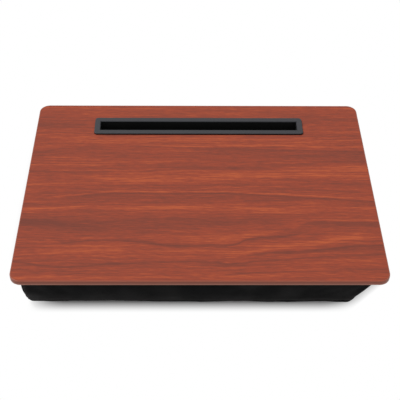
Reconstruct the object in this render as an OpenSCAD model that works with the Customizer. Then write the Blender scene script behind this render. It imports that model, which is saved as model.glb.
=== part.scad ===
// Lap desk: a wood-grain board with a tablet slot, carried on a bead-filled cushion.
// Millimetres. +Z is up, +X is the user's right and +Y points away from the user.
// The origin lies on the supporting surface, under the middle of the board.

/* [Board] */
// Width of the board, left to right
board_w = 400; // [340:5:600]
// Depth of the board, front to back
board_d = 300; // [240:5:420]
// Thickness of the board, facing sheets included
board_t = 6; // [5.5:0.5:12]
// Corner radius of the board seen from above
corner_r = 12; // [6:1:40]
// Thickness of the wood-grain sheet on top
grain_t = 0.5; // [0.3:0.1:1]
// Thickness of the plain sheet underneath
backing_t = 0.4; // [0.3:0.1:1]

/* [Edge band] */
// Thickness of the band glued round the board
band_t = 1.2; // [1:0.1:3]
// Thickness of the glue line between the band and the board
glue_t = 0.1; // [0.05:0.05:0.3]
// Rounding along the band's upper and lower edges
band_round = 0.8; // [0.2:0.1:0.9]

/* [Tablet slot] */
// Length of the slot's mouth, for a tablet standing on its long edge
slot_w = 243; // [180:1:280]
// Width of the slot's mouth, front to back
slot_d = 16.2; // [10:0.1:20]
// Depth of the slot below the board's top
slot_depth = 20; // [14:1:30]
// Distance from the board's back edge to the middle of the slot
slot_from_back = 43.3; // [41:0.1:90]
// Width of the bezel along the mouth's long sides
bezel_side = 7.5; // [6:0.5:12]
// Width of the bezel at the mouth's ends
bezel_end = 7; // [6:0.5:12]
// Height of the bezel above the board
bezel_t = 2; // [1.5:0.5:4]
// Corner radius of the bezel
bezel_r = 4; // [2:0.5:6]
// Rounding along the bezel's upper edge
bezel_round = 0.6; // [0.4:0.1:1.4]
// Bevel along the mouth's edge
mouth_bevel = 0.8; // [0.2:0.1:1.2]
// Wall thickness of the trough
trough_wall = 1.8; // [1.2:0.1:2.5]
// Floor thickness of the trough
trough_floor = 2; // [1.2:0.1:4]
// Corner radius of the trough, as left by the router bit
trough_r = 3; // [2:0.5:4]
// Gap between the trough and the cut-out in the board
cutout_gap = 0.4; // [0.2:0.1:0.8]

/* [Snap catches] */
// Snap catches on each long wall of the trough
catch_count = 4; // [2:1:6]
// Length of a snap catch along the wall
catch_w = 14; // [8:1:24]
// Height of a snap catch's lead-in slope
catch_h = 5; // [3:0.5:8]
// Reach of a snap catch under the board
catch_hook = 1.2; // [0.6:0.1:2]

/* [Cushion] */
// Height of the cushion, from the surface it rests on to the board
cushion_h = 50; // [40:1:90]
// Inset of the cushion's top from the board's edge
top_inset = 9; // [8:0.5:24]
// Corner radius of the cushion's top
top_corner_r = 8; // [6:1:24]
// Inset of the base seam from the board's edge, at the front
seam_front = 16.5; // [8:0.5:40]
// Inset of the base seam from the board's edge, on the right
seam_right = 28.5; // [8:0.5:50]
// Inset of the base seam from the board's edge, at the back
seam_back = 18; // [8:0.5:40]
// Inset of the base seam from the board's edge, on the left
seam_left = 9; // [8:0.5:50]
// Corner radius of the base seam
seam_corner_r = 8; // [6:1:40]
// Height of the base seam above the supporting surface
seam_h = 10; // [5:0.5:16]
// Width of the rolled edge from the base seam in to the flat foot
roll_w = 8; // [4:0.5:12]
// Outward bow of the base seam between its corners
seam_bow = 1.5; // [0:0.5:6]
// Fullness of the rolled edge at the front: 0 is a straight slope, 1 a quarter round
full_front = 1; // [0:0.1:1.2]
// Fullness of the rolled edge on the right
full_right = 0.4; // [0:0.1:1.2]
// Fullness of the rolled edge at the back
full_back = 1; // [0:0.1:1.2]
// Fullness of the rolled edge on the left
full_left = 1; // [0:0.1:1.2]
// Swell of the front wall
swell_front = 2; // [0:0.5:8]
// Swell of the right wall
swell_right = 0; // [0:0.5:8]
// Swell of the back wall
swell_back = 2.5; // [0:0.5:8]
// Swell of the left wall
swell_left = 1.5; // [0:0.5:8]

/* [Cover] */
// Thickness of the cover's cloth
cloth_t = 0.8; // [0.5:0.1:1.5]
// Width of the hem turned in under the board
hem_w = 15; // [8:0.5:20]

/* [Tack strips] */
// Width of a tack strip
strip_w = 12; // [9:0.5:16]
// Thickness of a tack strip
strip_t = 2; // [1.2:0.1:3]

/* [Staples] */
// Width of a staple's crown
staple_w = 10; // [6:0.5:14]
// Thickness of the staple wire
staple_wire = 0.7; // [0.5:0.1:1]
// Bite of a staple's legs in the core board
staple_bite = 3.5; // [2:0.1:3.8]
// Greatest distance between neighbouring staples
staple_pitch = 50; // [30:5:90]

/* [Filling] */
// Thickness of the liner that holds the beads
liner_t = 0.4; // [0.3:0.1:1]
// Slack between the liner and everything round it
liner_slack = 0.3; // [0.3:0.1:1]
// Slack between the liner and the trough that presses into it
pocket_slack = 1; // [0.5:0.1:3]

/* [Hidden] */

// Heights above the supporting surface
under_z = cushion_h;
top_z = under_z + board_t;
core_z = under_z + backing_t;
core_t = board_t - grain_t - backing_t;
trough_z = top_z - slot_depth - trough_floor;
strip_z = under_z - cloth_t - strip_t;
crown_z = strip_z - staple_wire;

// The board inside its edge band
core_w = board_w - 2 * (band_t + glue_t);
core_d = board_d - 2 * (band_t + glue_t);
core_r = corner_r - band_t - glue_t;

// The trough and the hole that it drops into
slot_y = board_d / 2 - slot_from_back;
trough_w = slot_w + 2 * trough_wall;
trough_d = slot_d + 2 * trough_wall;
cutout_w = trough_w + 2 * cutout_gap;
cutout_d = trough_d + 2 * cutout_gap;
bezel_w = slot_w + 2 * bezel_end;
bezel_d = slot_d + 2 * bezel_side;
catch_reach = cutout_gap + catch_hook;

// The cushion's four sides, in the order of the lists below
side_names = ["front", "right", "back", "left"];
side_half = [board_d / 2, board_w / 2, board_d / 2, board_w / 2];
seam_inset = [seam_front, seam_right, seam_back, seam_left];
swell = [swell_front, swell_right, swell_back, swell_left];
fullness = [full_front, full_right, full_back, full_left];

// Steps in the cushion's surfaces
corner_steps = 3;
side_steps = 8;
wall_steps = 6;
bag_steps = 4;
roll_steps = 4;

// Smallest corner radius of a ring
least_corner = 0.5;

// Slack that makes a cut pass clear through a face
through = 1;
$fn = 64;

grain_colour = [0.61, 0.31, 0.24];
band_colour = [0.47, 0.29, 0.23];
fibreboard_colour = [0.66, 0.52, 0.37];
backing_colour = [0.16, 0.12, 0.1];
plastic_colour = [0.16, 0.16, 0.17];
cloth_colour = [0.09, 0.09, 0.09];
card_colour = [0.6, 0.52, 0.42];
wire_colour = [0.75, 0.75, 0.77];
liner_colour = [0.92, 0.92, 0.9];
bead_colour = [0.97, 0.97, 0.96];

function mix(a, b, share) = a + (b - a) * share;
function side_number(name) = search([name], side_names)[0];
function heading(angle) = [cos(angle), sin(angle)];
function side_angle(side) = 90 * side - 90;
function outward(side) = heading(side_angle(side));

// Distances of the cushion's four sides from the middle, at a share of the way from the top to the seam
function wall_reach(share) = [
    for (s = [0:len(side_names) - 1])
        side_half[s] - mix(top_inset, seam_inset[s], share) + swell[s] * sin(180 * share)
];
function inward(reach, distance) = [for (r = reach) r - distance];
function wall_corner(share) = mix(top_corner_r, seam_corner_r, share);

// One side of a rounded rectangle, from the middle of one corner to the middle of the next.
// The straight run bows outwards between its ends.
function side_points(side, reach, corner, bow) =
    let (
        r = max(corner, least_corner),
        before = (side + 3) % 4,
        after = (side + 1) % 4,
        face = outward(side) * (reach[side] - r),
        first = face + outward(before) * (reach[before] - r),
        last = face + outward(after) * (reach[after] - r),
        angle = side_angle(side)
    )
    concat(
        [for (k = [0:corner_steps]) first + r * heading(angle - 45 + 45 * k / corner_steps)],
        [for (k = [1:side_steps - 1])
            let (share = k / side_steps)
            mix(first, last, share) + outward(side) * (r + bow * 4 * share * (1 - share))],
        [for (k = [0:corner_steps]) last + r * heading(angle + 45 * k / corner_steps)]
    );
function all_sides(reach, corner, bow) = [
    for (s = [0:len(side_names) - 1])
        let (points = side_points(s, reach, corner, bow))
        for (k = [0:len(points) - 2]) points[k]
];
function lifted(points, z) = [for (p = points) [p[0], p[1], z]];

// Rings of the cushion's walls and of the rolled edge below them, offset inwards
function wall_z(share) = mix(strip_z, seam_h, share);
function wall_share(z) = (strip_z - z) / (strip_z - seam_h);
function wall_ring(share, offset) = lifted(
    all_sides(inward(wall_reach(share), offset), wall_corner(share) - offset, seam_bow * share),
    wall_z(share)
);
function roll_ring(step, offset) =
    let (
        angle = 90 * step / roll_steps,
        width = roll_w - offset,
        seam = inward(wall_reach(1), offset),
        reach = [for (s = [0:len(side_names) - 1])
            seam[s] - width * mix(sin(angle), 1 - cos(angle), fullness[s])],
        corner = wall_corner(1) - offset - width / 2 * (1 - cos(angle))
    )
    lifted(all_sides(reach, corner, seam_bow), offset + (seam_h - offset) * (1 - sin(angle)));

// Triangles between neighbouring rows of points. Rows run down the outside, and up again inside.
function row_faces(rows, columns, closed) = [
    for (row = [0:rows - 2], k = [0:columns - (closed ? 1 : 2)])
        let (
            a = row * columns + k,
            b = row * columns + (k + 1) % columns,
            c = a + columns,
            d = b + columns
        )
        for (face = [[a, b, d], [a, d, c]]) face
];
// Triangles that close the two ends of a cloth panel, pairing each outside row with its inside one
function end_faces(rows, columns) = [
    for (row = [0:rows / 2 - 2])
        let (
            a = row * columns,
            b = a + columns,
            c = (rows - 1 - row) * columns,
            d = c - columns,
            e = columns - 1
        )
        for (face = [[a, b, d], [a, d, c], [a + e, d + e, b + e], [a + e, c + e, d + e]]) face
];
// Triangles that join the last row to the first one
function closing_faces(rows, columns, closed) = [
    for (k = [0:columns - (closed ? 1 : 2)])
        let (
            a = (rows - 1) * columns + k,
            b = (rows - 1) * columns + (k + 1) % columns,
            c = k,
            d = (k + 1) % columns
        )
        for (face = [[a, b, d], [a, d, c]]) face
];
function shifted(faces, start) = [for (f = faces) [for (index = f) index + start]];
function ring_up(row, columns) = [for (k = [columns - 1:-1:0]) row * columns + k];
function ring_down(row, columns) = [for (k = [0:columns - 1]) row * columns + k];
function reversed(list) = [for (k = [len(list) - 1:-1:0]) list[k]];
function joined(lists) = [for (list = lists) for (item = list) item];

module rounded_rect(w, d, r) {
    square([w - 2 * r, d], center = true);
    square([w, d - 2 * r], center = true);
    for (x = [-1, 1], y = [-1, 1])
        translate([x * (w / 2 - r), y * (d / 2 - r)]) circle(r);
}

module rounded_plate(w, d, r, t) {
    linear_extrude(t) rounded_rect(w, d, r);
}

// Sweeps a profile round a rounded rectangle. The profile's x runs outwards from the corner's centre.
module frame_sweep(w, d, r) {
    for (k = [0:3]) {
        across = k % 2 == 0 ? w : d;
        along = k % 2 == 0 ? d : w;
        rotate([0, 0, 90 * k]) translate([across / 2 - r, along / 2 - r, 0]) {
            rotate_extrude(angle = 90) children();
            rotate([90, 0, 0]) linear_extrude(along - 2 * r) children();
        }
    }
}

// The band's section. Its rounding may be more than half as wide as the band.
module band_profile() {
    intersection() {
        translate([corner_r - band_t, 0]) square([band_t, board_t]);
        union() {
            square([corner_r - band_round, board_t]);
            translate([0, band_round]) square([corner_r, board_t - 2 * band_round]);
            for (z = [band_round, board_t - band_round])
                translate([corner_r - band_round, z]) circle(band_round);
        }
    }
}

module bezel_profile() {
    square([bezel_r - bezel_round, bezel_t]);
    square([bezel_r, bezel_t - bezel_round]);
    translate([bezel_r - bezel_round, bezel_t - bezel_round]) circle(bezel_round);
}

module slot_cutout() {
    translate([0, slot_y, under_z - through])
        rounded_plate(cutout_w, cutout_d, trough_r + cutout_gap, board_t + 2 * through);
}

// A U of flat wire with its crown against the tack strip and its legs in the board
module staple() {
    leg_h = staple_wire + strip_t + cloth_t + backing_t + staple_bite;
    translate([-staple_w / 2, -staple_wire / 2, crown_z]) {
        cube([staple_w, staple_wire, staple_wire]);
        cube([staple_wire, staple_wire, leg_h]);
        translate([staple_w - staple_wire, 0, 0]) cube([staple_wire, staple_wire, leg_h]);
    }
}

// Length of the straight run along one side of the cushion's top
function run_length(side) =
    let (reach = wall_reach(0))
    reach[(side + 3) % 4] + reach[(side + 1) % 4] - 2 * top_corner_r;

// Places its children on the line of one tack strip, with x along the strip
module on_strip(side) {
    rotate([0, 0, 90 * side])
        translate([0, -(wall_reach(0)[side] - cloth_t - strip_w / 2), 0])
            children();
}

module side_staples(side) {
    count = max(2, ceil(run_length(side) / staple_pitch));
    pitch = run_length(side) / count;
    on_strip(side)
        for (k = [0:count - 1])
            translate([(k - (count - 1) / 2) * pitch, 0, 0]) staple();
}

module all_staples() {
    for (side = [0:len(side_names) - 1]) side_staples(side);
}

module grain_sheet() {
    color(grain_colour)
        difference() {
            translate([0, 0, top_z - grain_t]) rounded_plate(core_w, core_d, core_r, grain_t);
            slot_cutout();
        }
}

module core_board() {
    color(fibreboard_colour)
        difference() {
            translate([0, 0, core_z]) rounded_plate(core_w, core_d, core_r, core_t);
            slot_cutout();
            all_staples();
        }
}

module backing_sheet() {
    color(backing_colour)
        difference() {
            translate([0, 0, under_z]) rounded_plate(core_w, core_d, core_r, backing_t);
            slot_cutout();
            all_staples();
        }
}

module edge_band() {
    color(band_colour)
        translate([0, 0, under_z]) frame_sweep(board_w, board_d, corner_r) band_profile();
}

module bezel() {
    frame_sweep(bezel_w, bezel_d, bezel_r) bezel_profile();
    translate([0, 0, bezel_t / 2])
        cube([bezel_w - 2 * bezel_r, bezel_d - 2 * bezel_r, bezel_t], center = true);
}

// The mouth's opening, widened by a bevel at the bezel's top
module mouth() {
    depth = bezel_t + slot_depth;
    translate([0, 0, bezel_t - depth / 2 + through / 2])
        cube([slot_w, slot_d, depth + through], center = true);
    translate([0, 0, bezel_t - mouth_bevel])
        intersection() {
            bevel_prism(slot_d, bezel_w);
            rotate([0, 0, 90]) bevel_prism(slot_w, bezel_w);
        }
}

// A prism along x whose width in y grows from the mouth's width as it rises
module bevel_prism(width, length) {
    half = width / 2;
    rise = mouth_bevel + through;
    translate([-length / 2, 0, 0]) rotate([90, 0, 90])
        linear_extrude(length)
            polygon([[-half, 0], [half, 0], [half + rise, rise], [-half - rise, rise]]);
}

// A wedge on the trough's wall that springs out under the board
module snap_catch() {
    translate([-catch_w / 2, 0, 0]) rotate([90, 0, 90])
        linear_extrude(catch_w)
            polygon([[-trough_wall, 0], [catch_reach, 0], [0, -catch_h], [-trough_wall, -catch_h]]);
}

module slot_insert() {
    catch_pitch = trough_w / catch_count;
    color(plastic_colour) translate([0, slot_y, 0])
        difference() {
            union() {
                translate([0, 0, top_z]) bezel();
                translate([0, 0, trough_z])
                    rounded_plate(trough_w, trough_d, trough_r, slot_depth + trough_floor + bezel_t / 2);
                for (turn = [0, 180], k = [0:catch_count - 1])
                    rotate([0, 0, turn])
                        translate([(k - (catch_count - 1) / 2) * catch_pitch, trough_d / 2, under_z])
                            snap_catch();
            }
            translate([0, 0, top_z]) mouth();
        }
}

// A fibre strip that grips the cover's hem against the board
module tack_strip(name) {
    side = side_number(name);
    color(card_colour)
        difference() {
            on_strip(side)
                translate([-run_length(side) / 2, -strip_w / 2, strip_z])
                    cube([run_length(side), strip_w, strip_t]);
            side_staples(side);
        }
}

module staples() {
    color(wire_colour) all_staples();
}

// One sewn side of the cover: the hem under the board, the fold round the tack strip and the wall
module cover_side(name) {
    side = side_number(name);
    top = wall_reach(0);
    function row(reach, corner, bow, z) = lifted(side_points(side, reach, corner, bow), z);
    function face_rows(offset) = concat(
        [row(inward(top, hem_w), top_corner_r - hem_w, 0, under_z - offset)],
        [row(inward(top, offset), top_corner_r - offset, 0, under_z - offset)],
        [for (step = [0:wall_steps])
            let (share = step / wall_steps)
            row(inward(wall_reach(share), offset), wall_corner(share) - offset,
                seam_bow * share, wall_z(share))]
    );
    rows = concat(face_rows(0), reversed(face_rows(cloth_t)));
    columns = len(rows[0]);
    color(cloth_colour)
        difference() {
            polyhedron(
                joined(rows),
                concat(
                    row_faces(len(rows), columns, false),
                    closing_faces(len(rows), columns, false),
                    end_faces(len(rows), columns)
                )
            );
            side_staples(side);
        }
}

// The cover's base: a shallow dish whose rolled edge rises to the seam
module cover_base() {
    outside = [for (step = [0:roll_steps]) roll_ring(step, 0)];
    inside = [for (step = [0:roll_steps]) roll_ring(step, cloth_t)];
    rows = concat(outside, reversed(inside));
    columns = len(rows[0]);
    foot_row = len(outside) - 1;
    color(cloth_colour)
        polyhedron(
            joined(rows),
            concat(
                row_faces(len(outside), columns, true),
                shifted(row_faces(len(inside), columns, true), len(outside) * columns),
                [ring_down(foot_row, columns)],
                [ring_up(foot_row + 1, columns)],
                closing_faces(len(rows), columns, true)
            )
        );
}

// The bead bag's form, offset inwards: a crown against the board, a ledge under the tack
// strips, the walls, the rolled edge and the foot
module bead_bag(offset) {
    inset = cloth_t + liner_slack + offset;
    ledge_z = crown_z - liner_slack - offset;
    ledge_share = wall_share(ledge_z);
    crown_inset = max(cloth_t + strip_w, hem_w) + liner_slack + offset;
    crown = all_sides(inward(wall_reach(0), crown_inset), top_corner_r - crown_inset, 0);
    rings = concat(
        [lifted(crown, under_z - liner_slack - offset)],
        [lifted(crown, ledge_z)],
        [for (step = [0:bag_steps]) wall_ring(mix(ledge_share, 1, step / bag_steps), inset)],
        [for (step = [1:roll_steps]) roll_ring(step, inset)]
    );
    columns = len(crown);
    polyhedron(
        joined(rings),
        concat(
            [ring_up(0, columns)],
            row_faces(len(rings), columns, true),
            [ring_down(len(rings) - 1, columns)]
        )
    );
}

// The hollow that the slot's trough presses into the bead bag
module trough_pocket(slack) {
    pocket_w = trough_w + 2 * slack;
    pocket_d = trough_d + 2 * (catch_reach + slack);
    pocket_z = trough_z - slack;
    translate([-pocket_w / 2, slot_y - pocket_d / 2, pocket_z])
        cube([pocket_w, pocket_d, under_z + through - pocket_z]);
}

module bead_liner() {
    color(liner_colour)
        difference() {
            bead_bag(0);
            trough_pocket(pocket_slack);
            difference() {
                bead_bag(liner_t);
                trough_pocket(pocket_slack + liner_t);
            }
        }
}

module bead_filling() {
    color(bead_colour)
        difference() {
            bead_bag(liner_t);
            trough_pocket(pocket_slack + liner_t);
        }
}

grain_sheet();
core_board();
backing_sheet();
edge_band();
slot_insert();
tack_strip("front");  // tack_strip_front
tack_strip("right");  // tack_strip_right
tack_strip("back");  // tack_strip_back
tack_strip("left");  // tack_strip_left
staples();
cover_side("front");  // cover_front
cover_side("right");  // cover_right
cover_side("back");  // cover_back
cover_side("left");  // cover_left
cover_base();
bead_liner();
bead_filling();
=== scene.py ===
import math

import bmesh
import bpy
from mathutils import Matrix, Vector, noise
from mathutils.bvhtree import BVHTree


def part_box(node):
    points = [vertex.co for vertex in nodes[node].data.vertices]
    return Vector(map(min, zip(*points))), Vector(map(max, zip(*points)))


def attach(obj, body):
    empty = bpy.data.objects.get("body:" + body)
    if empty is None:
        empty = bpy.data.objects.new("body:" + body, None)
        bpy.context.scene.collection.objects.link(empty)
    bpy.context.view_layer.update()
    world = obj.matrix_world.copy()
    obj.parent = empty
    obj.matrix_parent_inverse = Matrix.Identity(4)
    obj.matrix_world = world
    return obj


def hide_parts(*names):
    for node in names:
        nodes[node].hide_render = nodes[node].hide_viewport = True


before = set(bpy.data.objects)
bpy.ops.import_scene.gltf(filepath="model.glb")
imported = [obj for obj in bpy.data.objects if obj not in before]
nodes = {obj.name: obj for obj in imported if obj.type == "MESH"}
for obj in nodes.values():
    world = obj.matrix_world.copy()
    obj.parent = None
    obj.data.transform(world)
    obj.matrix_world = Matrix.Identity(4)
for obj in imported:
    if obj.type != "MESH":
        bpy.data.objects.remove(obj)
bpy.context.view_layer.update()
scene = bpy.context.scene
print("frame loaded,", len(nodes), "solids")


# camera at the photograph's viewing angle

shot = {
    "lens": 84.77,     # mm, on a 36 mm sensor
    "place": (-0.012244, -0.807602, 0.788435),
    "yaw": -0.9415,     # degrees
    "tilt": 46.865,
    "roll": 0.7054,
}


def aimCamera():
    camera = bpy.data.cameras.new("photoCamera")
    camera.lens = shot["lens"]
    camera.sensor_width = 36.0
    camera.clip_start = 0.01
    holder = bpy.data.objects.new("photoCamera", camera)
    turn = Matrix.Rotation(math.radians(shot["yaw"]), 4, "Z")
    turn = turn @ Matrix.Rotation(math.radians(shot["tilt"]), 4, "X")
    turn = turn @ Matrix.Rotation(math.radians(shot["roll"]), 4, "Z")
    holder.matrix_world = Matrix.Translation(shot["place"]) @ turn
    scene.collection.objects.link(holder)
    scene.camera = holder


aimCamera()
print("camera set")


# shader helpers

class Wire:
    # a socket in a node tree; arithmetic on it adds Math nodes
    def __init__(self, finish, socket):
        self.finish = finish
        self.socket = socket

    def output(self, name):
        return Wire(self.finish, self.socket.node.outputs[name])

    def maths(self, operation, first, second=0.0):
        return self.finish.node("ShaderNodeMath", {"operation": operation}, {0: first, 1: second})

    def __add__(self, other):
        return self.maths("ADD", self, other)

    def __radd__(self, other):
        return self.maths("ADD", other, self)

    def __sub__(self, other):
        return self.maths("SUBTRACT", self, other)

    def __rsub__(self, other):
        return self.maths("SUBTRACT", other, self)

    def __mul__(self, other):
        return self.maths("MULTIPLY", self, other)

    def __rmul__(self, other):
        return self.maths("MULTIPLY", other, self)

    def __pow__(self, other):
        return self.maths("POWER", self, other)

    def __lt__(self, other):
        return self.maths("LESS_THAN", self, other)

    def __gt__(self, other):
        return self.maths("GREATER_THAN", self, other)

    def __abs__(self):
        return self.maths("ABSOLUTE", self)


class Finish:
    # the node tree of one material or of the world
    def __init__(self, owner):
        self.owner = owner
        owner.use_nodes = True
        self.tree = owner.node_tree
        self.tree.nodes.clear()

    def node(self, kind, settings=(), sockets=(), out=0):
        made = self.tree.nodes.new(kind)
        for name, value in dict(settings).items():
            if name == "stops":
                self.setStops(made.color_ramp, value)
            elif name == "points":
                self.setPoints(made.mapping, value)
            else:
                setattr(made, name, value)
        for key, value in dict(sockets).items():
            if isinstance(value, Wire):
                self.tree.links.new(value.socket, made.inputs[key])
            else:
                made.inputs[key].default_value = value
        return Wire(self, made.outputs[out]) if made.outputs else None

    def setStops(self, ramp, stops):
        while len(ramp.elements) < len(stops):
            ramp.elements.new(1.0)
        for element, (place, colour) in zip(ramp.elements, stops):
            element.position = place
            element.color = (*colour, 1.0)

    def setPoints(self, mapping, points):
        curve = mapping.curves[0]
        while len(curve.points) < len(points):
            curve.points.new(0.5, 0.5)
        for point, place in zip(curve.points, points):
            point.location = place
        mapping.update()

    def objectXyz(self):
        place = self.node("ShaderNodeTexCoord", out="Object")
        split = self.node("ShaderNodeSeparateXYZ", sockets={0: place})
        return split, split.output("Y"), split.output("Z")

    def vector(self, x, y, z=0.0):
        return self.node("ShaderNodeCombineXYZ", sockets={0: x, 1: y, 2: z})

    def cloud(self, place, scale=1.0, detail=2.0, rough=0.5):
        return self.node("ShaderNodeTexNoise", {"noise_dimensions": "3D"},
                         {"Vector": place, "Scale": scale, "Detail": detail, "Roughness": rough})

    def tint(self, share, first, second, how="MIX"):
        first = first if isinstance(first, Wire) else (*first, 1.0)
        second = second if isinstance(second, Wire) else (*second, 1.0)
        return self.node("ShaderNodeMix", {"data_type": "RGBA", "blend_type": how},
                         {0: share, 6: first, 7: second}, out=2)

    def bump(self, height, depth):
        return self.node("ShaderNodeBump", {}, {"Height": height, "Distance": depth, "Strength": 1.0})

    def principled(self, sockets):
        return self.node("ShaderNodeBsdfPrincipled", {}, sockets)

    def surface(self, shader):
        self.node("ShaderNodeOutputMaterial", {}, {0: shader})
        return self.owner


def newFinish(name):
    return Finish(bpy.data.materials.new(name))


def dress(name, material):
    slots = nodes[name].data.materials
    slots.clear()
    slots.append(material)


# wood-grain sheet

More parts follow.
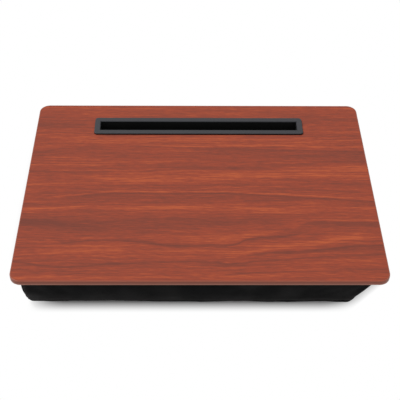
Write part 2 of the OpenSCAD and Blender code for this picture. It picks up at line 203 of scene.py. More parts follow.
grain = {
    "dark": (0.191, 0.0557, 0.0388),
    "brown": (0.260, 0.0635, 0.0395),
    "red": (0.333, 0.0702, 0.0394),
    "orange": (0.477, 0.1080, 0.0454),
    "boardWidth": 0.400,
    "window": 0.100,    # height of the strip in which a figure line may wander
    "softness": 1.5,
    "lineTone": 0.78,
    "runsOff": 195,     # a line that ends past this, in mm, runs off the board
    "endFade": (12, 28),    # mm past a line's end and short of it, between which the line fades
    # each layer of noise: its scale along and across the grain, and its place in depth
    "drift": (6.0, 14.0, 0.0),
    "wobble": (34.0, 80.0, 0.0),
    "bands": (3.0, 80.0, 3.0),
    "streaks": (13.0, 360.0, 7.0),
    "fibres": (60.0, 900.0, 11.0),
    "flecks": (130.0, 700.0, 17.0),
    "shares": {"bands": 0.45, "streaks": 1.15, "fibres": 1.1, "flecks": 0.45},     # of each layer in the tone
    "bend": (0.010, 0.0018),    # how far the drift and the wobble bend the layers
    "lineBend": 0.0024,
    # each line's tone, below 0 for darker, its fade in mm behind and in front, and its points in mm
    "lines": [
        (-0.68, 2.0, 1.2, [(-168, -86), (-155, -91), (-148, -93.5), (-138, -93), (-120, -91),
                           (-100, -90), (-80, -90.5), (-65, -93), (-50, -96), (-35, -98), (-15, -98.5),
                           (10, -98), (30, -98), (40, -96), (48, -90.5), (60, -87), (80, -84.5),
                           (100, -82), (118, -77)]),
        (-0.35, 5.0, 2.0, [(-75, -92), (-50, -96), (-20, -98), (0, -98)]),
        (-0.30, 1.5, 4.0, [(42, -93), (60, -88), (85, -85), (110, -81)]),
        (-0.58, 1.2, 2.0, [(-200, -121), (-180, -125), (-165, -128), (-145, -129.5), (-125, -128.5),
                           (-105, -126), (-80, -124), (-50, -122.5), (-20, -122), (0, -122), (15, -123),
                           (30, -125), (45, -123.5), (60, -121.5), (80, -119.5), (100, -118),
                           (130, -115), (160, -113), (200, -111)]),
        (-0.65, 1.0, 3.5, [(50, -114), (65, -110), (85, -107), (110, -106), (130, -104), (150, -101),
                           (165, -98.5), (180, -98), (200, -97)]),
        (-0.35, 1.0, 1.5, [(150, -91), (170, -90.5), (200, -91)]),
        (0.45, 4.0, 4.0, [(-175, -108), (-150, -106.5), (-100, -105.5), (-60, -106), (-20, -106),
                          (20, -106)]),
        (0.65, 5.5, 3.0, [(10, -110), (40, -110), (52, -108), (62, -105), (80, -102), (100, -100),
                          (120, -97.5), (135, -93), (150, -89.5), (165, -87), (190, -86)]),
        (0.40, 8.0, 6.0, [(-60, -88), (-30, -88), (0, -87), (20, -85), (40, -84), (60, -80), (95, -77)]),
        (0.30, 2.5, 2.0, [(-140, -86), (-110, -86.5), (-80, -86)]),
        (-0.40, 1.2, 1.6, [(20, -141), (60, -137.5), (100, -136), (150, -134), (200, -133)]),
        (-0.40, 1.5, 1.2, [(-190, -133), (-175, -136.5), (-150, -136), (-120, -139)]),
        (0.30, 3.0, 3.0, [(-200, -144), (-100, -144.5), (0, -143), (100, -141), (150, -139)]),
        (0.25, 2.0, 2.0, [(-200, -131.5), (-170, -133), (-130, -134.5), (-100, -131)]),
        (-0.60, 0.8, 9.0, [(108, -70), (116, -65), (124, -61.7), (150, -61), (200, -61.5)]),
        (0.40, 1.2, 1.2, [(95, -58), (140, -58), (200, -58.5)]),
        (-0.38, 3.0, 9.0, [(-200, -59), (-165, -60.5), (-150, -65), (-125, -68), (-100, -70)]),
        (-0.35, 9.0, 11.0, [(-200, -63), (-100, -65), (0, -64), (60, -62), (100, -66)]),
        (-0.45, 3.0, 4.0, [(85, -72), (100, -75), (112, -76)]),
        (0.60, 1.5, 3.5, [(-200, -41), (-170, -39.5), (-140, -37), (-110, -37), (-70, -37.5),
                          (-40, -37.5), (0, -37), (40, -38), (60, -39.5), (95, -41)]),
        (0.30, 1.0, 1.2, [(40, -45), (90, -46.5), (130, -47)]),
        (-0.20, 7.0, 7.0, [(-160, -24), (-100, -22), (0, -22), (60, -24), (120, -28)]),
        (0.50, 1.4, 1.2, [(-170, -21.5), (-140, -17), (-120, -14), (-100, -11.5), (-60, -12), (0, -12.5),
                          (30, -12.2), (60, -14), (100, -17), (130, -19), (160, -22), (200, -25)]),
        (-0.55, 0.9, 2.0, [(-150, -21), (-120, -17), (-90, -15), (0, -15), (30, -14.5), (60, -16.5),
                           (100, -19.5), (130, -22), (160, -25), (200, -28)]),
        (0.42, 7.0, 7.0, [(-130, 8), (-100, 8), (-50, 11), (0, 12), (50, 14), (80, 17), (120, 21),
                          (160, 24), (200, 24)]),
        (0.40, 2.0, 1.5, [(-200, 0), (-170, 1.5), (-140, 3.5), (-110, 6)]),
        (0.35, 1.0, 1.0, [(-125, 3), (-90, 4.5), (-50, 5)]),
        (0.35, 3.0, 0.9, [(55, 9), (75, 13.5), (100, 14.5), (130, 15), (170, 14.5), (200, 14.5)]),
        (-0.35, 1.0, 2.0, [(-130, -2), (-60, -1.5), (0, -0.5), (70, 1)]),
        (-0.35, 1.5, 3.0, [(90, 9.5), (130, 5), (200, -1)]),
        (-0.30, 1.0, 2.0, [(70, -4), (120, -7), (200, -14)]),
        (-0.45, 1.0, 2.5, [(-70, 31), (0, 30.5), (60, 30), (85, 28), (98, 24)]),
        (-0.25, 4.0, 4.0, [(-200, 24), (-150, 22), (-100, 19)]),
        (0.30, 1.5, 1.5, [(-190, 21), (-160, 25), (-120, 26), (-80, 25)]),
        (0.50, 2.5, 1.5, [(-75, 72.5), (-50, 70.5), (-20, 69.5), (20, 69.5), (50, 70), (100, 70.5),
                          (130, 69), (160, 68), (200, 67.5)]),
        (0.30, 6.0, 6.0, [(-165, 80), (-120, 81), (-60, 82), (0, 83), (60, 83)]),
        (0.35, 2.0, 1.5, [(50, 84), (100, 80.5), (140, 79.5), (200, 80)]),
        (0.30, 5.0, 5.0, [(-185, 86), (-150, 85), (-110, 84)]),
        (-0.45, 0.9, 6.0, [(-10, 65), (30, 65.5), (70, 64.5), (100, 63), (150, 61), (200, 60.5)]),
        (-0.22, 6.0, 6.0, [(-200, 57), (0, 54), (200, 50)]),
        (0.35, 1.0, 1.0, [(-185, 48), (-150, 48), (-110, 47)]),
        (0.35, 1.2, 1.0, [(-50, 60.5), (-10, 60), (35, 60.5)]),
        (-0.45, 6.0, 5.0, [(-200, 111), (-160, 111), (-130, 110)]),
        (-0.20, 6.0, 6.0, [(100, 122), (150, 124), (200, 122)]),
        (0.25, 3.0, 3.0, [(-200, 144), (0, 144), (200, 144)]),
        (-0.40, 1.2, 1.5, [(120, 42), (160, 41), (200, 41)]),
        (0.30, 1.5, 1.5, [(115, 31), (160, 32), (200, 31)]),
        (0.42, 1.2, 1.0, [(-200, 35), (-150, 35), (-100, 34)]),
    ],
}


def figureLine(finish, line, x, y, across):
    tone, behind, front, points = line
    middle = sum(place[1] for place in points) / len(points) / 1000
    window = grain["window"]
    width = grain["boardWidth"]
    drawn = [(px / 1000 / width + 0.5, (py / 1000 - middle) / window + 0.5) for px, py in points]
    curve = finish.node("ShaderNodeFloatCurve", {"points": drawn}, {"Value": across})
    away = y - (curve * window + (middle - window / 2))
    fade = away.maths("MAXIMUM", away * (1000 / behind), away * (-1000 / front)) ** grain["softness"]
    mark = fade.maths("EXPONENT", fade * -1)
    for end, inward in ((points[0][0], 1), (points[-1][0], -1)):
        if abs(end) < grain["runsOff"]:
            past, short = grain["endFade"]
            reach = finish.node("ShaderNodeMapRange", {"interpolation_type": "SMOOTHSTEP"},
                                {"Value": x, "From Min": (end - inward * past) / 1000,
                                 "From Max": (end + inward * short) / 1000})
            mark = mark * reach
    return mark * tone


def grainLayer(finish, name, x, across, detail=2.0, rough=0.5):
    scaleAlong, scaleAcross, depth = grain[name]
    place = finish.vector(x * scaleAlong, across * scaleAcross, depth)
    return finish.cloud(place, detail=detail, rough=rough)


def woodGrain():
    finish = newFinish("woodGrain")
    x, y, z = finish.objectXyz()
    drift = grainLayer(finish, "drift", x, y)
    wobble = grainLayer(finish, "wobble", x, y)
    bent = y + (drift - 0.5) * grain["bend"][0] + (wobble - 0.5) * grain["bend"][1]
    streaks = grainLayer(finish, "streaks", x, bent, detail=3.0, rough=0.6)
    fibres = grainLayer(finish, "fibres", x, bent, rough=0.6)
    layers = {
        "bands": grainLayer(finish, "bands", x, bent),
        "streaks": streaks,
        "fibres": fibres,
        "flecks": grainLayer(finish, "flecks", x, bent, detail=1.0),
    }
    tone = 0.50
    for name, share in grain["shares"].items():
        tone = tone + (layers[name] - 0.5) * share
    strength = 0.85 + (streaks - 0.5) * 1.2 + (drift - 0.5) * 0.6
    lineY = y + (wobble - 0.5) * grain["lineBend"]
    across = x * (1 / grain["boardWidth"]) + 0.5
    figure = figureLine(finish, grain["lines"][0], x, lineY, across)
    for line in grain["lines"][1:]:
        figure = figure + figureLine(finish, line, x, lineY, across)
    tone = tone + figure * strength * grain["lineTone"]
    stops = [(0.0, grain["dark"]), (0.36, grain["brown"]), (0.60, grain["red"]), (1.0, grain["orange"])]
    colour = finish.node("ShaderNodeValToRGB", {"stops": stops}, {0: tone})
    return finish.surface(finish.principled({
        "Base Color": colour,
        "Roughness": 0.50 + (streaks - 0.5) * 0.2,
        "Specular IOR Level": 0.06,
        "Normal": finish.bump(fibres + streaks * 0.5, 0.00004),
    }))


dress("grain_sheet", woodGrain())
print("wood grain done,", len(grain["lines"]), "figure lines")


# edge band

band = {
    "colour": (0.285, 0.082, 0.050),
    "dark": (0.215, 0.062, 0.039),
    "upper": (0.345, 0.096, 0.058),     # painted highlight along the top edge and painted reflection of the floor along the bottom edge
    "lower": (0.370, 0.145, 0.098),
    "upperFrom": (0.0545, 0.0556),      # heights between which the painted highlight and the painted reflection begin
    "lowerFrom": (0.0530, 0.0518),
    "lineStretch": 14.0,
    "lineSpacing": 900.0,
    "rub": (0.6, 0.6),                  # how much painted highlight and reflection the edges get, evenly and along the lines
}


def edgeBand():
    finish = newFinish("edgeBand")
    x, y, z = finish.objectXyz()
    stretch = band["lineStretch"]
    lines = finish.cloud(finish.vector(x * stretch, y * stretch, z * band["lineSpacing"]), detail=3.0)
    colour = finish.tint(lines, band["dark"], band["colour"])
    # painted highlight on the top rounding and painted reflection of the floor on the bottom rounding
    for edge in ("upper", "lower"):
        start, end = band[edge + "From"]
        litEdge = finish.node("ShaderNodeMapRange", {"interpolation_type": "SMOOTHSTEP"},
                             {"Value": z, "From Min": start, "From Max": end})
        colour = finish.tint(litEdge * (band["rub"][0] + lines * band["rub"][1]), colour, band[edge])
    return finish.surface(finish.principled({
        "Base Color": colour,
        "Roughness": 0.36 + (lines - 0.5) * 0.16,
        "Specular IOR Level": 0.2,
        "Normal": finish.bump(lines, 0.00003),
    }))


dress("edge_band", edgeBand())
print("edge band done")


# slot insert

insert = {
    "face": (0.0148, 0.0152, 0.0200),
    "sides": (0.013, 0.013, 0.013),
    "jointShade": (0.003, 0.003, 0.003),    # painted shade: near-black strip along the sides just under the lip, for the shadow line where the bezel meets the board
    "jointShadeZ": 0.0557,
    "lipZ": 0.0572,                    # below this the bezel's and the trough's sides begin
    "texture": 2600.0,
    "castScale": 20.0,
    "faceShades": (0.8, 1.2),          # uneven cast of the moulding
    "sideShade": 1.5,
}


def mouldedBlack():
    finish = newFinish("mouldedBlack")
    x, y, z = finish.objectXyz()
    sides = z < insert["lipZ"]
    pores = finish.cloud(finish.vector(x, y, z), scale=insert["texture"], detail=1.0)
    uneven = insert["castScale"]
    cast = finish.cloud(finish.vector(x * uneven, y * uneven, z * uneven), detail=2.0)
    face = finish.tint(cast, *[[shade * part for part in insert["face"]] for shade in insert["faceShades"]])
    grainy = finish.bump(pores, 0.00002)
    trough = finish.tint(cast, insert["sides"], [insert["sideShade"] * part for part in insert["sides"]])
    satin = finish.principled({
        "Base Color": face,
        "Roughness": 0.42 + (pores - 0.5) * 0.2,
        "Specular IOR Level": 0.385,
        "Normal": grainy,
    })
    dull = finish.principled({
        # painted shade on the strip just under the lip, the rest of the sides dull black
        "Base Color": finish.tint(z > insert["jointShadeZ"], trough, insert["jointShade"]),
        "Roughness": 0.85 + (pores - 0.5) * 0.2,
        "Specular IOR Level": 0.08,
        "Normal": grainy,
    })
    return finish.surface(finish.node("ShaderNodeMixShader", {}, {0: sides, 1: satin, 2: dull}))


dress("slot_insert", mouldedBlack())
print("slot insert done")


# hidden pieces of the board: core, backing, card strips and staples

# two colours, scale of the flecks, roughness, depth of the relief
hidden = {
    "core": (((0.30, 0.18, 0.085), (0.45, 0.28, 0.14)), 900.0, 0.8, 0.0001),
    "backing": (((0.022, 0.015, 0.011), (0.040, 0.027, 0.020)), 300.0, 0.6, 0.00003),
    "card": (((0.26, 0.18, 0.11), (0.38, 0.28, 0.17)), 700.0, 0.85, 0.0001),
    "wire": (((0.48, 0.48, 0.50), (0.62, 0.62, 0.64)), 500.0, 0.35, 0.00001),
}


def fleckedFinish(name, colours, scale, roughness, depth, metallic=0.0):
    finish = newFinish(name)
    x, y, z = finish.objectXyz()
    flecks = finish.cloud(finish.vector(x, y, z), scale=scale, detail=4.0, rough=0.65)
    return finish.surface(finish.principled({
        "Base Color": finish.tint(flecks, *colours),
        "Roughness": roughness + (flecks - 0.5) * 0.3,
        "Metallic": metallic,
        "Normal": finish.bump(flecks, depth),
    }))


dress("core_board", fleckedFinish("fibreboard", *hidden["core"]))
dress("backing_sheet", fleckedFinish("backingSheet", *hidden["backing"]))
cardFinish = fleckedFinish("pressedCard", *hidden["card"])
for side in ("front", "right", "back", "left"):
    dress("tack_strip_" + side, cardFinish)
dress("staples", fleckedFinish("stapleWire", *hidden["wire"], metallic=1.0))
print("board's hidden pieces done")


# cushion cover

cover = {
    "half": (0.200, 0.150),             # half of the board
    "cell": 0.0045,                     # spacing of the mesh
    "topInset": 0.009,                  # board's edge to the cover, at the hem
    "seamInset": {"left": 0.0094, "right": 0.0284, "front": 0.0164, "back": 0.0182},
    "swell": {"left": 0.0011, "right": -0.0007, "front": 0.002, "back": 0.0025},
    # roll below the seam, 0 for slanted and 1 for round
    "full": {"left": 1.0, "right": 0.4, "front": 1.0, "back": 1.0},
    "bow": 0.0015,                      # how far the sides bow out at their middle
    "corner": 0.008,
    "top": 0.0499,                      # just under the board
    "neck": 0.0472,
    "seam": 0.010,                      # widest row, where the sides and the base are sewn together
    "roll": 0.008,
    "rows": (0.0008, 0.0022, 0.0037, 0.0050, 0.0062, 0.0078, 0.0100, 0.0125, 0.0160, 0.0205, 0.0255, 0.0310,
             0.0365, 0.0420, 0.0472, 0.0499),
    "hem": (0.005, 0.010, 0.015),       # rows of the hem that turns in under the board
    "pressure": 4.0,
    "frames": 20,
    "quality": 8,
    "mass": 0.2,
    "cap": 0.003,                       # furthest that the filling may push a point
    "taut": (0.2, 0.040),               # share of the filling's push at the right side, and its reach inward
    "stretch": 15.0,
    "shear": 5.0,
    "bend": 0.3,
    "seamHold": 0.95,
    "gatherReach": 0.012,               # the seam gathers the cloth this far from it
    "shrink": 0.03,
    "puckerScale": 70.0,
    "uneven": 0.0004,                   # the cloth's unevenness before it is filled
    "unevenScale": 45.0,
    "seed": 4,
    "thick": 0.0006,
    "floorGap": 0.0001,
}


def mix(first, second, share):
    return first + (second - first) * share


def reachAt(side, z):
    # how far a side stands from the middle at height z
    half = cover["half"][0] if side in ("left", "right") else cover["half"][1]
    share = (cover["neck"] - max(min(z, cover["neck"]), cover["seam"])) / (cover["neck"] - cover["seam"])
    reach = half - mix(cover["topInset"], cover["seamInset"][side], share)
    reach += cover["swell"][side] * math.sin(math.pi * share)
    if z < cover["seam"]:
        sine = 1 - z / cover["seam"]
        cosine = math.sqrt(max(0.0, 1 - sine * sine))
        reach -= cover["roll"] * mix(sine, 1 - cosine, cover["full"][side])
    return reach, share


def placeRow(verts, flat, z):
    # puts the vertices of one row of the cover, or of its base, at their places for height z
    halfX = cover["half"][0] - cover["topInset"]
    halfY = cover["half"][1] - cover["topInset"]
    left, share = reachAt("left", z)
    right = reachAt("right", z)[0]
    front = reachAt("front", z)[0]
    back = reachAt("back", z)[0]
    for vert in verts:
        x, y = flat[vert]
        shareX = (x + halfX) / (2 * halfX)
        shareY = (y + halfY) / (2 * halfY)
        bowX = cover["bow"] * share * 4 * shareY * (1 - shareY) * (2 * shareX - 1)
        bowY = cover["bow"] * share * 4 * shareX * (1 - shareX) * (2 * shareY - 1)
        vert.co = (mix(-left, right, shareX) + bowX, mix(-front, back, shareY) + bowY, z)


def roundCorner(x, y):
    # turns the square corner of a grid into a round one
    inX = abs(x) - (cover["half"][0] - cover["topInset"] - cover["corner"])
    inY = abs(y) - (cover["half"][1] - cover["topInset"] - cover["corner"])
    if inX <= 0 or inY <= 0:
        return x, y
    u = inX / cover["corner"]
    v = inY / cover["corner"]
    cutX = inX * (1 - math.sqrt(1 - v * v / 2))
    cutY = inY * (1 - math.sqrt(1 - u * u / 2))
    return x - math.copysign(cutX, x), y - math.copysign(cutY, y)


def extrudeRow(sewn, edges, row, flat):
    # a new row from the open edges, where each vertex keeps the flat place of the one it came from
    made = bmesh.ops.extrude_edge_only(sewn, edges=edges)["geom"]
    edges = [part for part in made if isinstance(part, bmesh.types.BMEdge) and part.is_boundary]
    verts = {vert for edge in edges for vert in edge.verts}
    for vert in verts:
        below = min(row, key=lambda other: (other.co - vert.co).length_squared)
        flat[vert] = flat[below]
    return edges, verts


def sortParts(sewn):
    # the filling depends on the order of edges and faces, so it is made the same in each run
    count = len(sewn.verts)
    sewn.verts.index_update()

    def rank(part):
        number = 0
        for index in sorted(vert.index for vert in part.verts)[:3]:
            number = number * count + index
        return number

    sewn.edges.sort(key=rank)
    sewn.faces.sort(key=rank)


def sewCover():
    halfX = cover["half"][0] - cover["topInset"]
    halfY = cover["half"][1] - cover["topInset"]
    sewn = bmesh.new()
    stepsX = round(2 * halfX / cover["cell"])
    stepsY = round(2 * halfY / cover["cell"])
    bmesh.ops.create_grid(sewn, x_segments=stepsX, y_segments=stepsY, size=1.0)
    bmesh.ops.scale(sewn, vec=(halfX, halfY, 1.0), verts=sewn.verts)
    flat = {vert: roundCorner(vert.co.x, vert.co.y) for vert in sewn.verts}
    placeRow(sewn.verts, flat, 0.0)
    edges = [edge for edge in sewn.edges if edge.is_boundary]
    row = {vert for edge in edges for vert in edge.verts}
    for z in cover["rows"]:
        edges, row = extrudeRow(sewn, edges, row, flat)
        placeRow(row, flat, z)
    for inset in cover["hem"]:
        edges, row = extrudeRow(sewn, edges, row, flat)
        placeRow(row, flat, cover["top"])
        for vert in row:
            vert.co.x *= 1 - inset / halfX
            vert.co.y *= 1 - inset / halfY
    sortParts(sewn)
    bmesh.ops.recalc_face_normals(sewn, faces=sewn.faces)
    return sewn


def fillCover(piece):
    # pressure rounds the sewn cover out, while its hem and its foot stay where they are
    noise.seed_set(cover["seed"])
    start = [vert.co.copy() for vert in piece.data.vertices]
    held = piece.vertex_groups.new(name="held")
    gather = piece.vertex_groups.new(name="gather")
    for index, place in enumerate(start):
        if place.z < cover["floorGap"] or place.z > cover["neck"] - cover["floorGap"]:
            held.add([index], 1.0, "REPLACE")
            continue
        if abs(place.z - cover["seam"]) < cover["floorGap"]:
            held.add([index], cover["seamHold"], "REPLACE")
        nearSeam = max(0.0, 1 - abs(place.z - cover["seam"]) / cover["gatherReach"])
        pucker = 0.5 + noise.noise(place * cover["puckerScale"])
        gather.add([index], max(0.0, min(1.0, nearSeam * pucker)), "REPLACE")
        uneven = noise.noise_vector(place * cover["unevenScale"]) * cover["uneven"]
        piece.data.vertices[index].co += uneven
    filling = piece.modifiers.new("filling", "CLOTH")
    filling.collision_settings.use_collision = False
    settings = filling.settings
    settings.quality = cover["quality"]
    settings.mass = cover["mass"]
    settings.tension_stiffness = cover["stretch"]
    settings.compression_stiffness = cover["stretch"]
    settings.shear_stiffness = cover["shear"]
    settings.bending_stiffness = cover["bend"]
    settings.vertex_group_mass = held.name
    settings.vertex_group_shrink = gather.name
    settings.shrink_min = 0.0
    settings.shrink_max = cover["shrink"]
    settings.use_pressure = True
    settings.uniform_pressure_force = cover["pressure"]
    settings.effector_weights.gravity = 0.0
    filling.point_cache.frame_start = 1
    filling.point_cache.frame_end = cover["frames"]
    for step in range(1, cover["frames"] + 1):
        scene.frame_set(step)
    shaped = piece.evaluated_get(bpy.context.evaluated_depsgraph_get()).data
    ends = [vert.co.copy() for vert in shaped.vertices]
    piece.modifiers.remove(filling)
    scene.frame_set(1)
    furthest = 0.0
    for vert, before, after in zip(piece.data.vertices, start, ends):
        move = after - before
        if move.length > cover["cap"]:
            move *= cover["cap"] / move.length
        fromRight = reachAt("right", before.z)[0] - before.x
        move *= mix(cover["taut"][0], 1.0, max(0.0, min(1.0, fromRight / cover["taut"][1])))
        furthest = max(furthest, move.length)
        vert.co = before + move
        vert.co.z = max(0.0, min(vert.co.z, cover["top"]))
    print("cover filled, furthest point moved", round(furthest * 1000, 2), "mm")


# seams and folds that the filled cover gets

sewing = {
    "line": 0.0061,                     # height of the stitched line
    "waver": 0.0006,                    # how far the line wanders up and down
    "waverScale": 22.0,
    # height above the line, half width and depth of the fold, the stitched groove and the roll under it
    "profile": [(0.0034, 0.0020, 0.0007), (0.0, 0.0009, -0.0008), (-0.0031, 0.0018, 0.0006)],
    "cornerEase": 0.030,                # the seam is shallower this near to a corner
    "cornerLeast": 0.3,                 # its share at the corner itself
    "sideEase": {"left": 0.45, "right": 0.25, "front": 1.0, "back": 1.0},
    "pucker": 0.00045,
    "puckerReach": 0.0065,
    "puckerScale": 150.0,
    "puckerTall": 0.4,                  # puckers stand taller than they are wide
    "neckFade": 0.006,                  # the relief dies away this far below the neck
    "cornerReach": 0.016,
    "cornerGroove": (0.0011, -0.0006),  # half width and depth of the corner seams
    "cornerPuff": (0.0036, 0.0018, 0.0004),
    "ripple": 0.00035,                  # soft unevenness of the walls
    "rippleScale": 38.0,
    # how far the front's foot stands out along x, in mm
    "footWave": [(-200, 0.2), (-167, 0.5), (-129, -1.4), (-86, -2.0), (-42, -0.6), (1, 0.2), (45, -1.2),
                 (78, 0.8), (111, 0.2), (133, 0.2), (155, 2.0), (200, 1.2)],
    "footReach": 0.009,
    # soft folds across the front, in mm: start x and z, end x and z, half width, height
    "folds": [(36, 8.4, 62, 6.6, 1.3, 0.7), (64, 4.0, 96, 2.6, 1.0, -0.9), (66, 7.6, 92, 8.8, 1.6, 0.5),
              (98, 8.2, 124, 7.4, 1.3, 0.7), (-150, 7.4, -118, 8.4, 1.3, 0.4), (-92, 9.0, -52, 7.2, 1.4, 0.5),
              (-40, 5.0, -8, 3.8, 1.0, -0.5), (128, 5.0, 150, 3.6, 1.0, -0.5)],
}


def alongWave(x):
    points = sewing["footWave"]
    for (x0, y0), (x1, y1) in zip(points, points[1:]):
        if x0 <= x * 1000 <= x1:
            share = (x * 1000 - x0) / (x1 - x0)
            return mix(y0, y1, share * share * (3 - 2 * share)) / 1000
    return 0.0


def bell(away, width):
    return math.exp(-(away / width) ** 2)


def foldLift(x, z):
    lift = 0.0
    for x0, z0, x1, z1, width, height in sewing["folds"]:
        share = (x * 1000 - x0) / (x1 - x0)
        if 0 < share < 1:
            away = z * 1000 - mix(z0, z1, share)
            lift += height / 1000 * bell(away, width) * math.sin(math.pi * share)
    return lift


def seamLine(place):
    # height of the stitched line beside a point
    flat = Vector((place.x, place.y, 0.0))
    return sewing["line"] + sewing["waver"] * noise.noise(flat * sewing["waverScale"])


def nearestSide(place, reach):
    away = {"left": place.x + reach["left"], "right": reach["right"] - place.x,
            "front": place.y + reach["front"], "back": reach["back"] - place.y}
    return min(away, key=away.get)


def pressSeams(mesh):
    # presses the base seam and the corner seams in, and lays puckers and folds beside them
    normals = [vert.normal.copy() for vert in mesh.vertices]
    # the lift at each point is kept to paint highlight on raised relief and shade in its grooves
    rub = mesh.attributes.new("rub", "FLOAT", "POINT")
    for vert, normal in zip(mesh.vertices, normals):
        place = vert.co.copy()
        if place.z > cover["neck"]:
            continue
        reach = {side: reachAt(side, place.z)[0] for side in ("left", "right", "front", "back")}
        inX = min(place.x + reach["left"], reach["right"] - place.x)
        inY = min(place.y + reach["front"], reach["back"] - place.y)
        if min(inX, inY) > cover["roll"]:
            continue
        line = seamLine(place)
        side = nearestSide(place, reach)
        ease = min(1.0, sewing["cornerLeast"] + max(inX, inY) / sewing["cornerEase"])
        ease *= sewing["sideEase"][side]
        lift = ease * sum(depth * bell(place.z - line - up, width) for up, width, depth in sewing["profile"])
        near = math.exp(-abs(place.z - line) / sewing["puckerReach"])
        creased = Vector((place.x, place.y, place.z * sewing["puckerTall"])) * sewing["puckerScale"]
        lift += sewing["pucker"] * near * noise.noise(creased)
        lift += sewing["ripple"] * noise.noise(place * sewing["rippleScale"])
        if max(inX, inY) < sewing["cornerReach"] and place.z > line:
            gap = abs(inX - inY)
            width, depth = sewing["cornerGroove"]
            out, puffWidth, puff = sewing["cornerPuff"]
            lift += depth * bell(gap, width) + puff * bell(gap - out, puffWidth)
        if side == "front":
            lift += foldLift(place.x, place.z)
            place.y -= alongWave(place.x) * bell(place.z, sewing["footReach"])
        fade = min(1.0, (cover["neck"] - place.z) / sewing["neckFade"])
        rub.data[vert.index].value = lift * fade * 1000
        vert.co = place + normal * lift * fade
        vert.co.z = max(0.0, vert.co.z)


cloth = {
    "colour": (0.0013, 0.0013, 0.0014),
    # paler tone for random wear and for painted light low on the wall and on the seam ridges
    "paleWearAndLight": (0.0300, 0.0285, 0.0285),
    "pitch": 0.0009,        # from thread to thread
    "paintedLightFrom": 0.006,      # painted light: paler below this height, with painted shade higher up under the board
    "paintedLightTo": 0.028,
    "threadDepth": 0.00012,
    "threadRound": 0.4,     # below 1 for a flatter thread
    "flatFrom": 0.6,        # faces that look this far up or down are woven along x and y
    "wearScale": 55.0,
    "lintScale": 900.0,
    "wearShare": 0.25,      # shares of random wear, threads and of painted light by height in the paler tone
    "threadShare": 0.08,
    "litLowShare": 0.50,
}


def clothUv(mesh):
    # lays the weave square on each panel, in metres
    layer = mesh.uv_layers.new(name="weave")
    for face in mesh.polygons:
        size = [abs(part) for part in face.normal]
        for corner in face.loop_indices:
            place = mesh.vertices[mesh.loops[corner].vertex_index].co
            if size[2] > cloth["flatFrom"]:
                layer.data[corner].uv = (place.x, place.y)
            elif size[1] > size[0]:
                layer.data[corner].uv = (place.x, place.z)
            else:
                layer.data[corner].uv = (place.y, place.z)


def wovenBlack():
    finish = newFinish("wovenBlack")
    lay = finish.node("ShaderNodeUVMap", {"uv_map": "weave"})
    split = finish.node("ShaderNodeSeparateXYZ", sockets={0: lay})
    turns = math.pi / cloth["pitch"]
    warp = split.maths("SINE", split * turns)
    weft = split.maths("SINE", split.output("Y") * turns)
    over = (warp * weft) > 0.0
    acrossWarp = abs(warp)
    acrossWeft = abs(weft)
    flatter = cloth["threadRound"]
    threads = over * acrossWeft * acrossWarp ** flatter + (1 - over) * acrossWarp * acrossWeft ** flatter
    x, y, z = finish.objectXyz()
    wear = finish.cloud(finish.vector(x, y, z), scale=cloth["wearScale"], detail=4.0, rough=0.6)
    lint = finish.cloud(finish.vector(x, y, z), scale=cloth["lintScale"], detail=2.0)
    # painted light: paler towards the foot of the wall, darker up under the board
    litLow = finish.node("ShaderNodeMapRange", {"interpolation_type": "SMOOTHSTEP"},
                      {"Value": z, "From Min": cloth["paintedLightFrom"], "From Max": cloth["paintedLightTo"],
                       "To Min": 1.0, "To Max": 0.0})
    # painted highlight on the raised seam relief and painted shade in its grooves
    rub = finish.node("ShaderNodeAttribute", {"attribute_name": "rub"}, out="Fac")
    tone = (wear - 0.5) * cloth["wearShare"] + threads * cloth["threadShare"] + litLow * cloth["litLowShare"] + rub
    return finish.surface(finish.principled({
        "Base Color": finish.tint(tone, cloth["colour"], cloth["paleWearAndLight"]),
        "Roughness": 0.72 + (lint - 0.5) * 0.3,
        "Specular IOR Level": 0.055,
        "Normal": finish.bump(threads + lint * 0.4, cloth["threadDepth"]),
    }))


def addPiece(name, mesh, finish):
    piece = bpy.data.objects.new(name, mesh)
    scene.collection.objects.link(piece)
    mesh.materials.clear()
    mesh.materials.append(finish)
    for face in mesh.polygons:
        face.use_smooth = True
    return piece


def bake(piece):
    # the piece's mesh with its modifiers applied
    return bpy.data.meshes.new_from_object(piece.evaluated_get(bpy.context.evaluated_depsgraph_get()))


sewn = sewCover()
print("cover sewn,", len(sewn.faces), "faces")
coverMesh = bpy.data.meshes.new("cushionCover")
sewn.to_mesh(coverMesh)
sewn.free()
clothUv(coverMesh)
clothFinish = wovenBlack()
coverPiece = addPiece("cushionCover", coverMesh, clothFinish)
fillCover(coverPiece)
finer = coverPiece.modifiers.new("finer", "SUBSURF")
finer.levels = 1
finer.render_levels = 1
coverPiece.data = bake(coverPiece)
coverPiece.modifiers.remove(finer)
pressSeams(coverPiece.data)
print("seams pressed,", len(coverPiece.data.polygons), "faces")


# thread of the base seam

stitches = {
    "pitch": 0.0036,
    "length": 0.0027,
    "thick": 0.0005,
    "proud": 0.0001,
    "steps": 2400,              # looks for the cover this often on the way round
    "lookFrom": (0.5, 0.4),     # from this far out, along x and y
    "lineAt": 0.15,             # distance at which the seam's height is read
    "colour": (0.0045, 0.0045, 0.0047),
    "light": (0.012, 0.012, 0.012),
}


def twistedThread():
    finish = newFinish("twistedThread")
    x, y, z = finish.objectXyz()
    twist = finish.cloud(finish.vector(x, y, z), scale=1800.0, detail=1.0)
    return finish.surface(finish.principled({
        "Base Color": finish.tint(twist, stitches["colour"], stitches["light"]),
        "Roughness": 0.55 + (twist - 0.5) * 0.3,
        "Specular IOR Level": 0.3,
        "Normal": finish.bump(twist, 0.00005),
    }))


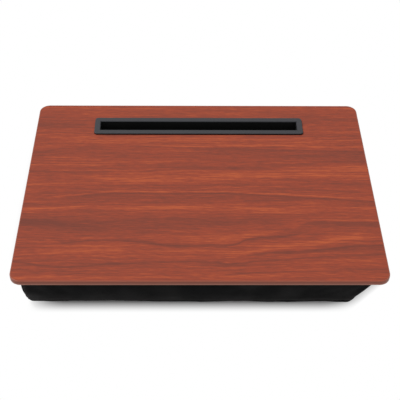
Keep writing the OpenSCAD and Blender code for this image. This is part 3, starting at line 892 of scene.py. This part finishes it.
def stitchSeam(mesh):
    # a row of thread stitches in the groove of the base seam
    skin = bmesh.new()
    skin.from_mesh(mesh)
    tree = BVHTree.FromBMesh(skin)
    thread = bmesh.new()
    steps = stitches["steps"]
    farX, farY = stitches["lookFrom"]
    last = None
    gone = 0.0
    for step in range(steps + 1):
        angle = 2 * math.pi * step / steps
        out = Vector((math.cos(angle) * farX, math.sin(angle) * farY, 0.0))
        start = Vector((out.x, out.y, seamLine(out.normalized() * stitches["lineAt"])))
        hit, normal = tree.ray_cast(start, Vector((-out.x, -out.y, 0.0)))[:2]
        if hit is None:
            continue
        if last is not None:
            gone += (hit - last).length
        if last is None or gone >= stitches["pitch"]:
            ahead = hit - last if last is not None else Vector((-out.y, out.x, 0.0))
            ahead.normalize()
            turn = Matrix((ahead, normal.cross(ahead), normal)).transposed().to_4x4()
            halfThick = stitches["thick"] / 2
            size = Matrix.Diagonal((stitches["length"] / 2, halfThick, halfThick, 1.0))
            seat = Matrix.Translation(hit + normal * stitches["proud"])
            bmesh.ops.create_icosphere(thread, subdivisions=1, radius=1.0, matrix=seat @ turn @ size)
            gone = 0.0
        last = hit
    skin.free()
    return thread


thread = stitchSeam(coverPiece.data)
print("seam stitched,", len(thread.faces), "faces")
threadMesh = bpy.data.meshes.new("seamStitches")
thread.to_mesh(threadMesh)
thread.free()
threadPiece = addPiece("seamStitches", threadMesh, twistedThread())


# bead filling and the liner round it

filling = {
    "voxel": 0.004,
    "smooth": 6,
    "smoothShare": 0.5,
    "linerThick": 0.0004,
    "linerGap": 0.0002,
    "underCover": 0.0038,               # from the cover's outside to the beads
    "underBoard": 0.0009,               # from the pieces above to the beads
    "troughCore": 0.004,                # from the trough's outside in to its core
    "troughRoom": 0.008,                # from that core out to the beads
    "feel": 0.008,                      # how far a point looks for the pieces near it
    "turns": 3,
    "weld": 0.00002,
    "bead": 0.0032,
    "beadColours": ((0.80, 0.80, 0.78), (0.92, 0.92, 0.90)),
    "linerColours": ((0.72, 0.72, 0.69), (0.86, 0.86, 0.83)),
}


def fillingForm(name):
    # the space that the beads take, as one soft closed form
    source = bmesh.new()
    source.from_mesh(nodes["bead_filling"].data)
    bmesh.ops.remove_doubles(source, verts=source.verts, dist=filling["weld"])
    mesh = bpy.data.meshes.new(name)
    source.to_mesh(mesh)
    source.free()
    return mesh


def remeshed(piece):
    cells = piece.modifiers.new("cells", "REMESH")
    cells.mode = "VOXEL"
    cells.voxel_size = filling["voxel"]
    cells.use_smooth_shade = True
    relax = piece.modifiers.new("relax", "SMOOTH")
    relax.factor = filling["smoothShare"]
    relax.iterations = filling["smooth"]
    mesh = bake(piece)
    piece.modifiers.clear()
    return mesh


def clearTrough(mesh):
    # moves the filling out to a round hollow about the insert's trough
    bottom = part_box("slot_insert")[0][2]
    foot = [vert.co for vert in nodes["slot_insert"].data.vertices if vert.co.z < bottom + filling["feel"]]
    core = filling["troughCore"]
    lowX, highX = min(place.x for place in foot) + core, max(place.x for place in foot) - core
    lowY, highY = min(place.y for place in foot) + core, max(place.y for place in foot) - core
    for vert in mesh.vertices:
        x, y, z = vert.co
        inside = Vector((max(lowX, min(x, highX)), max(lowY, min(y, highY)), max(bottom + core, z)))
        away = vert.co - inside
        if away.length < filling["troughRoom"]:
            way = away.normalized() if away.length > 0 else Vector((0.0, 0.0, -1.0))
            vert.co = inside + way * filling["troughRoom"]


def keepClear(mesh):
    # moves the filling in from the cover, and away from the pieces that reach down into it
    graph = bpy.context.evaluated_depsgraph_get()
    above = ["staples"] + ["tack_strip_" + side for side in ("front", "right", "back", "left")]
    walls = [(BVHTree.FromObject(coverPiece, graph, deform=False), -1, filling["underCover"])]
    walls += [(BVHTree.FromObject(nodes[name], graph), 1, filling["underBoard"]) for name in above]
    for turn in range(filling["turns"]):
        for vert in mesh.vertices:
            for tree, way, gap in walls:
                spot, normal = tree.find_nearest(vert.co, filling["feel"])[:2]
                if spot is None:
                    continue
                clear = (vert.co - spot).dot(normal) * way
                if clear < gap:
                    vert.co += normal * (gap - clear) * way
        clearTrough(mesh)


def looseBeads():
    finish = newFinish("looseBeads")
    x, y, z = finish.objectXyz()
    place = finish.vector(x, y, z)
    cells = finish.node("ShaderNodeTexVoronoi", {"feature": "F1"},
                        {"Vector": place, "Scale": 1 / filling["bead"]}, out="Distance")
    tint = finish.cloud(place, scale=300.0, detail=2.0)
    domes = 1 - cells
    return finish.surface(finish.principled({
        "Base Color": finish.tint(tint, *filling["beadColours"]),
        "Roughness": 0.75 + (tint - 0.5) * 0.3,
        "Normal": finish.bump(domes, 0.0012),
    }))


def thinLiner():
    finish = newFinish("thinLiner")
    x, y, z = finish.objectXyz()
    place = finish.vector(x, y, z)
    fibres = finish.cloud(place, scale=900.0, detail=4.0, rough=0.7)
    lumps = finish.node("ShaderNodeTexVoronoi", {"feature": "SMOOTH_F1"},
                        {"Vector": place, "Scale": 1 / filling["bead"]}, out="Distance")
    return finish.surface(finish.principled({
        "Base Color": finish.tint(fibres, *filling["linerColours"]),
        "Roughness": 0.85 + (fibres - 0.5) * 0.2,
        "Normal": finish.bump(fibres * 0.3 - lumps, 0.0006),
    }))


beadMesh = fillingForm("beadFilling")
beadPiece = addPiece("beadFilling", beadMesh, looseBeads())
beadPiece.data = remeshed(beadPiece)
keepClear(beadPiece.data)
linerMesh = beadPiece.data.copy()
linerMesh.name = "beadLiner"
linerPiece = addPiece("beadLiner", linerMesh, thinLiner())
linerSides = linerPiece.modifiers.new("thickness", "SOLIDIFY")
linerSides.thickness = filling["linerThick"]
linerSides.offset = 1.0
for vert in linerMesh.vertices:
    vert.co += vert.normal * filling["linerGap"]
clothSides = coverPiece.modifiers.new("thickness", "SOLIDIFY")
clothSides.thickness = cover["thick"]
clothSides.offset = -1.0
print("filling done,", len(beadPiece.data.polygons), "faces")


# floor, light and background

stage = {
    "floor": (0.93, 0.93, 0.93),
    "floorHalf": 6.0,
    "floorDrop": 0.0003,           # just below the cushion's foot
    "skyLight": 0.40,
    "keyLight": 2.20,
    "keySoft": 20.0,               # degrees across
    "keyFrom": (-0.45, 0.30, 0.85),
    # the floor keeps the object's shadow between these lines, and fades to white beyond them
    "shadowLeft": (-0.145, -0.175),        # at the front and further back
    "leftTurn": (-0.100, -0.060),          # along y, where the left line moves out
    "shadowRight": (0.275, 1.09, 0.160),   # at the middle, slant along y, furthest
    "shadowY": (-0.1268, 0.150),
    "fadeX": 0.044,
    "fadeY": (0.0190, 0.070),             # in front and behind
}


def seenRay(finish):
    # 1 for rays that show a surface, 0 for rays that gather light
    ray = finish.node("ShaderNodeLightPath", out="Is Camera Ray")
    seen = ray.maths("MAXIMUM", ray, ray.output("Is Glossy Ray"))
    return seen.maths("MAXIMUM", seen, ray.output("Is Transmission Ray"))


def makeFloor():
    plane = bmesh.new()
    bmesh.ops.create_grid(plane, x_segments=2, y_segments=2, size=stage["floorHalf"])
    bmesh.ops.translate(plane, vec=(0.0, 0.0, -stage["floorDrop"]), verts=plane.verts)
    mesh = bpy.data.meshes.new("paleFloor")
    plane.to_mesh(mesh)
    plane.free()
    floor = bpy.data.objects.new("paleFloor", mesh)
    scene.collection.objects.link(floor)
    finish = newFinish("paleFloor")
    x, y, z = finish.objectXyz()
    middle, slant, furthest = stage["shadowRight"]
    right = y.maths("MINIMUM", y * slant + middle, furthest)
    left = finish.node("ShaderNodeMapRange", {"interpolation_type": "SMOOTHSTEP"},
                       {"Value": y, "From Min": stage["leftTurn"][0], "From Max": stage["leftTurn"][1],
                        "To Min": stage["shadowLeft"][0], "To Max": stage["shadowLeft"][1]})
    outX = x.maths("MAXIMUM", left - x, x - right)
    outFront = (stage["shadowY"][0] - y) * (1 / stage["fadeY"][0])
    outBack = (y - stage["shadowY"][1]) * (1 / stage["fadeY"][1])
    besideX = finish.node("ShaderNodeMapRange", {}, {"Value": outX, "From Max": stage["fadeX"]})
    besideY = finish.node("ShaderNodeMapRange", {"interpolation_type": "SMOOTHSTEP"},
                          {"Value": y.maths("MAXIMUM", outFront, outBack)})
    white = 1 - (1 - besideX * besideX) * (1 - besideY)
    seen = seenRay(finish)
    shaded = finish.node("ShaderNodeBsdfDiffuse", {}, {"Color": (*stage["floor"], 1.0)})
    plain = finish.node("ShaderNodeEmission", {}, {"Color": (1.0, 1.0, 1.0, 1.0), "Strength": 1.0})
    shader = finish.node("ShaderNodeMixShader", {}, {0: white * seen, 1: shaded, 2: plain})
    mesh.materials.append(finish.surface(shader))


def lightScene():
    world = bpy.data.worlds.new("whiteStudio")
    scene.world = world
    finish = Finish(world)
    seen = seenRay(finish)
    strength = stage["skyLight"] + seen * (1.0 - stage["skyLight"])
    sky = finish.node("ShaderNodeBackground", {}, {"Color": (1.0, 1.0, 1.0, 1.0), "Strength": strength})
    finish.node("ShaderNodeOutputWorld", {}, {0: sky})
    lamp = bpy.data.lights.new("keyLight", "SUN")
    lamp.energy = stage["keyLight"]
    lamp.angle = math.radians(stage["keySoft"])
    holder = bpy.data.objects.new("keyLight", lamp)
    holder.rotation_euler = Vector(stage["keyFrom"]).to_track_quat("Z", "Y").to_euler()
    scene.collection.objects.link(holder)


makeFloor()
lightScene()
scene.view_settings.view_transform = "Standard"
print("stage set")

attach(coverPiece, "root")
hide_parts("cover_front", "cover_right", "cover_back", "cover_left", "cover_base")
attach(threadPiece, "root")
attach(linerPiece, "root")
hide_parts("bead_liner")
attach(beadPiece, "root")
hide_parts("bead_filling")
